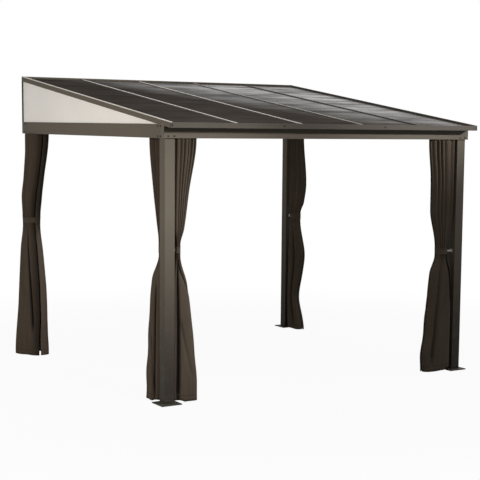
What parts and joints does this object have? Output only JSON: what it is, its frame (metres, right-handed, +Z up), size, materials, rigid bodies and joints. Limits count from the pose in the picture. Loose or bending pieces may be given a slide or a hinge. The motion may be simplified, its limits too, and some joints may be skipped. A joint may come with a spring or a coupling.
{
  "type": "lean-to metal gazebo",
  "caption": "Open lean-to garden gazebo on square posts, with a single-pitch sheet roof, opal gable panes and tied-back curtains; it shelters a seating area beside a wall.",
  "frame": {"origin": "centre of the whole outline on the ground, at the undersides of the base plates", "axes": "+Z up, +X along the long front side from left to right as seen from the front, +Y from the low front eave to the high rear (wall) side"},
  "size_m": [3.411, 3.021, 2.592],
  "materials": {
    "frame": "satin taupe powder coat",
    "plates": "satin taupe powder coat, scuffed",
    "caps": "matte",
    "roof": "semi-gloss dark brown sheet, slightly wavy",
    "opal": "milky translucent sheet",
    "tracks": "satin",
    "cloth": "woven matte dark brown cloth",
    "pegs": "matte pale"
  },
  "bodies": {
    "root": {"post_front_left": "frame", "post_front_right": "frame", "post_rear_left": "frame", "post_rear_right": "frame", "base_plate_front_left": "plates", "base_plate_front_right": "plates", "base_plate_rear_left": "plates", "base_plate_rear_right": "plates", "front_beam": "frame", "rear_beam": "frame", "left_beam": "frame", "right_beam": "frame", "beam_end_caps": "caps", "corner_brackets": "plates", "front_rail": "frame", "ridge_rail": "frame", "gable_rafter_left": "frame", "gable_rafter_right": "frame", "middle_rafters": "frame", "ridge_studs": "frame", "roof_sheet_1": "roof", "roof_sheet_2": "roof", "roof_sheet_3": "roof", "roof_sheet_4": "roof", "roof_sheet_5": "roof", "seam_strips": "frame", "gable_pane_left": "opal", "gable_pane_right": "opal", "curtain_track_front": "tracks", "curtain_track_left": "tracks", "curtain_track_right": "tracks", "curtain_rear_left": "cloth", "curtain_front_left_side": "cloth", "curtain_front_left": "cloth", "curtain_rear_right": "cloth", "curtain_front_right": "cloth", "curtain_front_right_side": "cloth", "tie_bands": "cloth", "tie_pegs": "pegs"}
  },
  "joints": []
}
